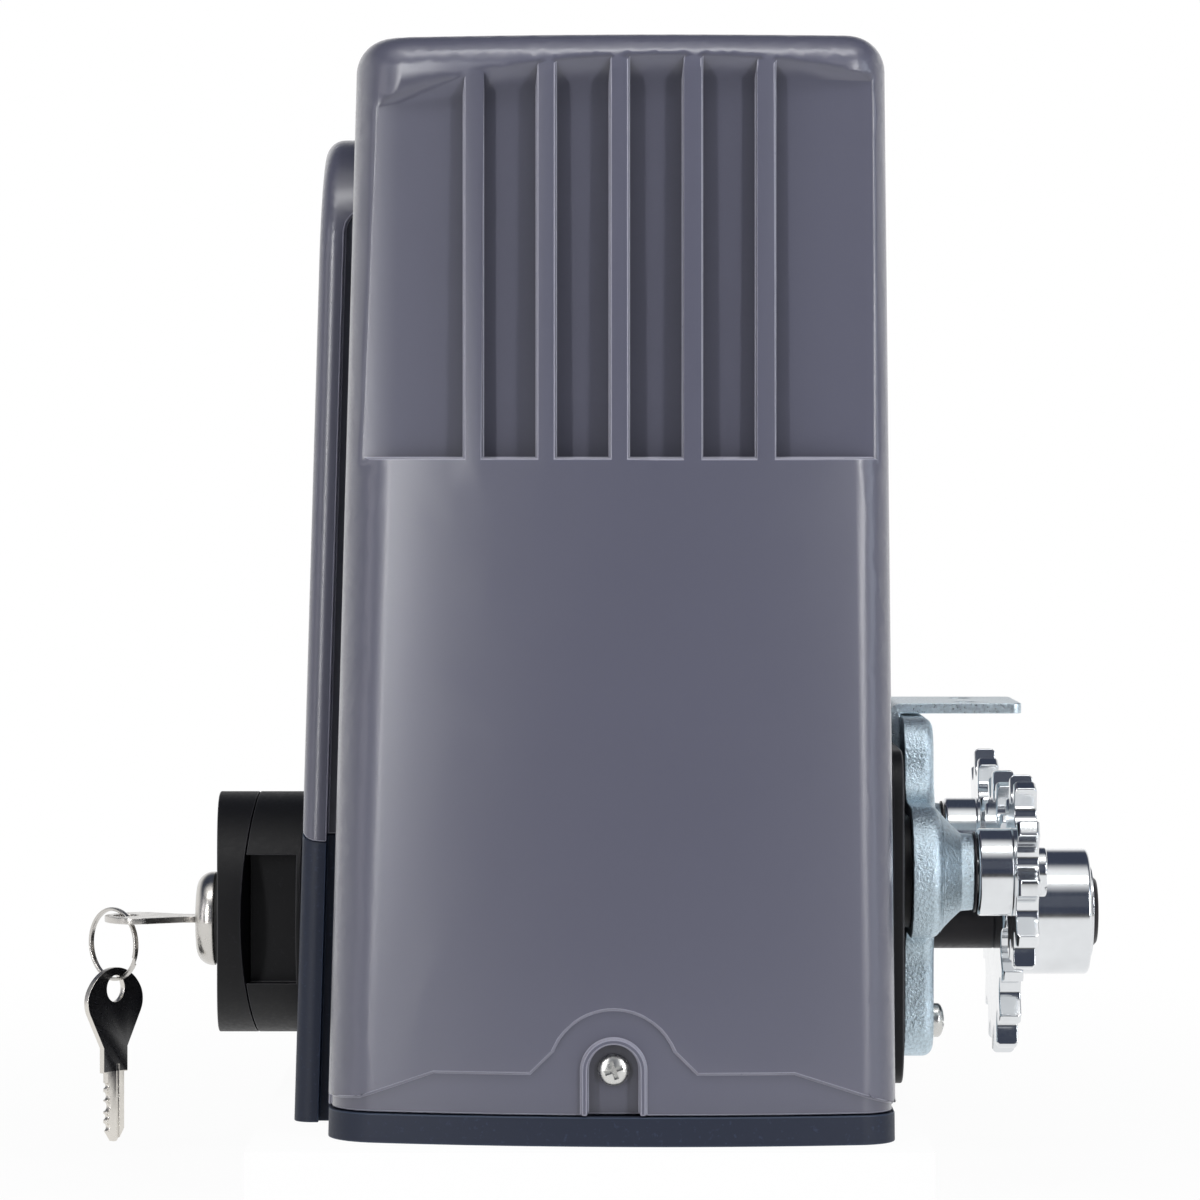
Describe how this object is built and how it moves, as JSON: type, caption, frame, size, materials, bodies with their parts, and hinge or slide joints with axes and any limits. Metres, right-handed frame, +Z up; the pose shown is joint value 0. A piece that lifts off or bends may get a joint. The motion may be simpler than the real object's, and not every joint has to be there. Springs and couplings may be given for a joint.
{
  "type": "sliding gate motor",
  "caption": "Sliding gate drive with ribbed cover, release knob with lock, worm gear motor inside, and chain sprockets on a carrier plate.",
  "frame": {"origin": "middle of the four foundation slots, on the underside of the base", "axes": "+Z up; +X across the gate towards the sprockets, with the release knob at -X; +Y along the gate"},
  "size_m": [0.2533, 0.2302, 0.269],
  "materials": {
    "casing_plastic": "semi-matt moulded plastic, grey-mauve",
    "base_plastic": "dark navy moulded plastic",
    "black_plastic": "black grained plastic",
    "cast_zinc": "grainy die-cast, unpainted",
    "polished_steel": "polished and plated",
    "zinc_sheet": "zinc-plated sheet",
    "screw_steel": "zinc-plated",
    "blackened_steel": "blackened",
    "nickel": "nickel-plated",
    "key_black": "black coated key, bare edge",
    "rubber": "matt rubber",
    "case_aluminium": "die-cast aluminium",
    "bearing_steel": "ground steel",
    "bronze": "cast bronze",
    "core_steel": "laminated steel",
    "copper": "enamelled copper",
    "board_green": "printed board",
    "grey_plastic": "moulded plastic"
  },
  "bodies": {
    "housing": {"base_housing": "base_plastic", "cover": "casing_plastic", "cover_screws": "screw_steel", "cable_grommet": "rubber", "gear_case": "case_aluminium", "gear_case_lid": "case_aluminium", "case_lid_screws": "screw_steel", "front_bearing": "bearing_steel", "rear_bearing": "bearing_steel", "worm_foot_bearing": "bearing_steel", "worm_head_bearing": "bearing_steel", "shaft_seal": "rubber", "carrier_plate": "cast_zinc", "plate_screws": "screw_steel", "bracket_screws": "screw_steel", "top_bracket": "zinc_sheet", "rear_panel": "black_plastic", "idler_pins": "polished_steel", "idler_washers": "blackened_steel", "release_bush": "bronze", "motor_housing": "case_aluminium", "stator_core": "core_steel", "stator_windings": "copper", "motor_end_cap": "case_aluminium", "end_cap_screws": "screw_steel", "motor_head_bearing": "bearing_steel", "board_tray": "zinc_sheet", "board_standoffs": "screw_steel", "control_board": "board_green", "terminal_block": "grey_plastic", "relays": "black_plastic", "transformer": "core_steel", "run_capacitor": "case_aluminium", "limit_sensor": "black_plastic"},
    "motor_rotor": {"worm_shaft": "bearing_steel", "rotor_core": "core_steel"},
    "drive": {"output_shaft": "blackened_steel", "shaft_key": "bearing_steel", "drive_sprocket": "polished_steel", "retaining_washer": "polished_steel", "worm_wheel": "bronze", "disc_springs": "bearing_steel"},
    "clutch": {"clutch_collar": "bearing_steel", "cross_pin": "bearing_steel", "push_rod": "bearing_steel"},
    "near_idler": {"near_idler_sprocket": "polished_steel"},
    "far_idler": {"far_idler_sprocket": "polished_steel"},
    "release_knob": {"release_knob_body": "black_plastic", "release_knob_cap": "black_plastic", "release_spindle": "bearing_steel", "lock_cap": "nickel", "lock_seal": "rubber", "lock_barrel": "nickel"},
    "lock": {"lock_plug": "nickel", "lock_cam": "screw_steel"},
    "key": {"key_in_lock": "nickel"},
    "ring": {"key_ring": "nickel"},
    "spare": {"spare_key": "key_black"}
  },
  "joints": [
    {"name": "motor_spin", "type": "hinge", "parent": "housing", "child": "motor_rotor", "pos_m": [0, 0.04, 0.14], "axis": [0, 0, 1], "continuous": true},
    {"name": "drive_spin", "type": "hinge", "parent": "housing", "child": "drive", "pos_m": [0.0955, 0, 0.045], "axis": [1, 0, 0], "continuous": true},
    {"name": "release_turn", "type": "hinge", "parent": "housing", "child": "release_knob", "pos_m": [-0.0762, 0, 0.045], "axis": [1, 0, 0], "range_deg": [0, 90]},
    {"name": "clutch_slide", "type": "slide", "parent": "drive", "child": "clutch", "axis": [1, 0, 0], "range_m": [0, 0.005]},
    {"name": "near_idler_spin", "type": "hinge", "parent": "housing", "child": "near_idler", "pos_m": [0.0955, -0.062, 0.0593], "axis": [1, 0, 0], "continuous": true},
    {"name": "far_idler_spin", "type": "hinge", "parent": "housing", "child": "far_idler", "pos_m": [0.0955, 0.062, 0.0593], "axis": [1, 0, 0], "continuous": true},
    {"name": "lock_turn", "type": "hinge", "parent": "release_knob", "child": "lock", "pos_m": [-0.1003, 0, 0.0432], "axis": [1, 0, 0], "range_deg": [0, 90]},
    {"name": "key_pull", "type": "slide", "parent": "lock", "child": "key", "axis": [-1, 0, 0], "range_m": [0, 0.018]},
    {"name": "ring_swing", "type": "hinge", "parent": "key", "child": "ring", "pos_m": [-0.12489, 0.00339, 0.0432], "axis": [0.7071, -0.7071, 0], "range_deg": [-25, 25]},
    {"name": "spare_swing", "type": "hinge", "parent": "ring", "child": "spare", "pos_m": [-0.12489, 0.00339, 0.0278], "axis": [0.7071, -0.7071, 0], "range_deg": [-25, 25]}
  ],
  "couplings": [
    {"joint": "drive_spin", "follows": "motor_spin", "ratio": -0.033333},
    {"joint": "clutch_slide", "follows": "release_turn", "m_per_rad": 0.00318}
  ]
}
